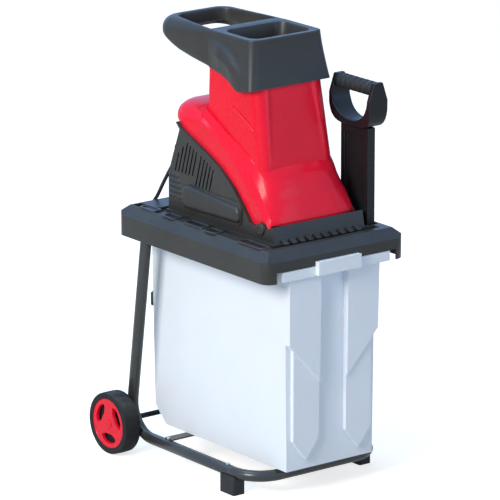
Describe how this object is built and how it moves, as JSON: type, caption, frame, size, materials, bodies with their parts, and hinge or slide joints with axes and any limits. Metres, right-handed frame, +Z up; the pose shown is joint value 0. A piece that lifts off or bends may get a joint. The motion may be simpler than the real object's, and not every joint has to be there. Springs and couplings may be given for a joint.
{
  "type": "garden shredder",
  "caption": "Garden shredder: hinged red cutter cover with a dark hopper and loop handle on a tray, tube stand with wheels, slide-in collection bin, and a plunger parked beside the cover.",
  "frame": {"origin": "on the ground, in the middle of the footprint", "axes": "+X to the right seen from the front, -Y to the front where the bin pulls out, +Z up"},
  "size_m": [0.464, 0.604, 0.983],
  "materials": {
    "tube_paint": "satin dark powder coat",
    "steel": "zinc-plated steel",
    "black_rubber": "matt black",
    "tyre_rubber": "matt dark grey",
    "red_gloss": "glossy moulded red",
    "dark_plastic": "fine-grained dark grey",
    "black_plastic": "satin black",
    "pale_plastic": "satin pale blue-white",
    "plate_metal": "bare plate",
    "core_iron": "stacked laminations",
    "copper": "varnished copper",
    "green_button": "glossy green",
    "red_button": "glossy red"
  },
  "bodies": {
    "stand": {"left_side_tube": "tube_paint", "right_side_tube": "tube_paint", "front_tube": "tube_paint", "bin_strap": "steel", "left_front_foot": "black_rubber", "right_front_foot": "black_rubber", "frame_screws": "steel", "axle_brackets": "tube_paint", "wheel_axle": "steel", "axle_spacers": "black_plastic", "tray": "dark_plastic", "bin_rails": "steel", "tray_screws": "steel", "base_housing": "dark_plastic", "hinge_pins": "steel", "deck_plate": "plate_metal", "discharge_chute": "plate_metal", "counter_knife": "plate_metal", "knife_screws": "steel", "upper_bearing": "steel", "lower_bearing": "steel", "stator_core": "core_iron", "field_coils": "copper", "motor_posts": "plate_metal", "motor_cradle": "plate_metal", "motor_screws": "steel", "brush_holders": "black_plastic", "capacitor": "plate_metal", "lock_stud": "steel", "safety_switch": "black_plastic", "switch_box": "dark_plastic", "cord_gland": "black_rubber", "mains_lead": "black_rubber", "plug_body": "black_plastic", "plug_pins": "steel"},
    "cover": {"upper_cover": "red_gloss", "hopper": "dark_plastic", "hopper_screws": "steel"},
    "lock_knob": {"lock_knob": "black_plastic"},
    "cutter": {"spindle": "steel", "rotor_core": "core_iron", "rotor_winding": "copper", "commutator": "copper", "cooling_fan": "black_plastic", "blade_disc": "plate_metal", "blades": "plate_metal", "blade_screws": "steel", "hub_nut": "steel"},
    "bin": {"bin": "pale_plastic"},
    "plunger": {"plunger_paddle": "black_plastic", "plunger_handle": "black_plastic", "plunger_grip": "black_plastic"},
    "left_wheel": {"left_tyre": "tyre_rubber", "left_rim": "red_gloss"},
    "right_wheel": {"right_tyre": "tyre_rubber", "right_rim": "red_gloss"},
    "on_button": {"on_button": "green_button"},
    "off_button": {"off_button": "red_button"}
  },
  "joints": [
    {"name": "cover_hinge", "type": "hinge", "parent": "stand", "child": "cover", "pos_m": [0, -0.182, 0.588], "axis": [1, 0, 0], "range_deg": [0, 30]},
    {"name": "lock_turn", "type": "hinge", "parent": "stand", "child": "lock_knob", "pos_m": [0, 0.11221, 0.735], "axis": [0, 0.8946, 0.447], "continuous": true},
    {"name": "cutter_spin", "type": "hinge", "parent": "stand", "child": "cutter", "pos_m": [0, -0.01, 0.68], "axis": [0, -0.5, 0.866], "continuous": true},
    {"name": "bin_slide", "type": "slide", "parent": "stand", "child": "bin", "axis": [0, -1, 0], "range_m": [0, 0.45]},
    {"name": "plunger_lift", "type": "slide", "parent": "stand", "child": "plunger", "axis": [0, 0, 1], "range_m": [0, 0.3]},
    {"name": "left_wheel_spin", "type": "hinge", "parent": "stand", "child": "left_wheel", "pos_m": [-0.211, 0.232, 0.07], "axis": [1, 0, 0], "continuous": true},
    {"name": "right_wheel_spin", "type": "hinge", "parent": "stand", "child": "right_wheel", "pos_m": [0.211, 0.232, 0.07], "axis": [1, 0, 0], "continuous": true},
    {"name": "on_press", "type": "slide", "parent": "stand", "child": "on_button", "axis": [0, -0.7809, -0.6247], "range_m": [0, 0.003], "stiffness_N_per_m": 600, "springref_m": -0.001},
    {"name": "off_press", "type": "slide", "parent": "stand", "child": "off_button", "axis": [0, -0.7809, -0.6247], "range_m": [0, 0.003], "stiffness_N_per_m": 600, "springref_m": -0.001}
  ]
}
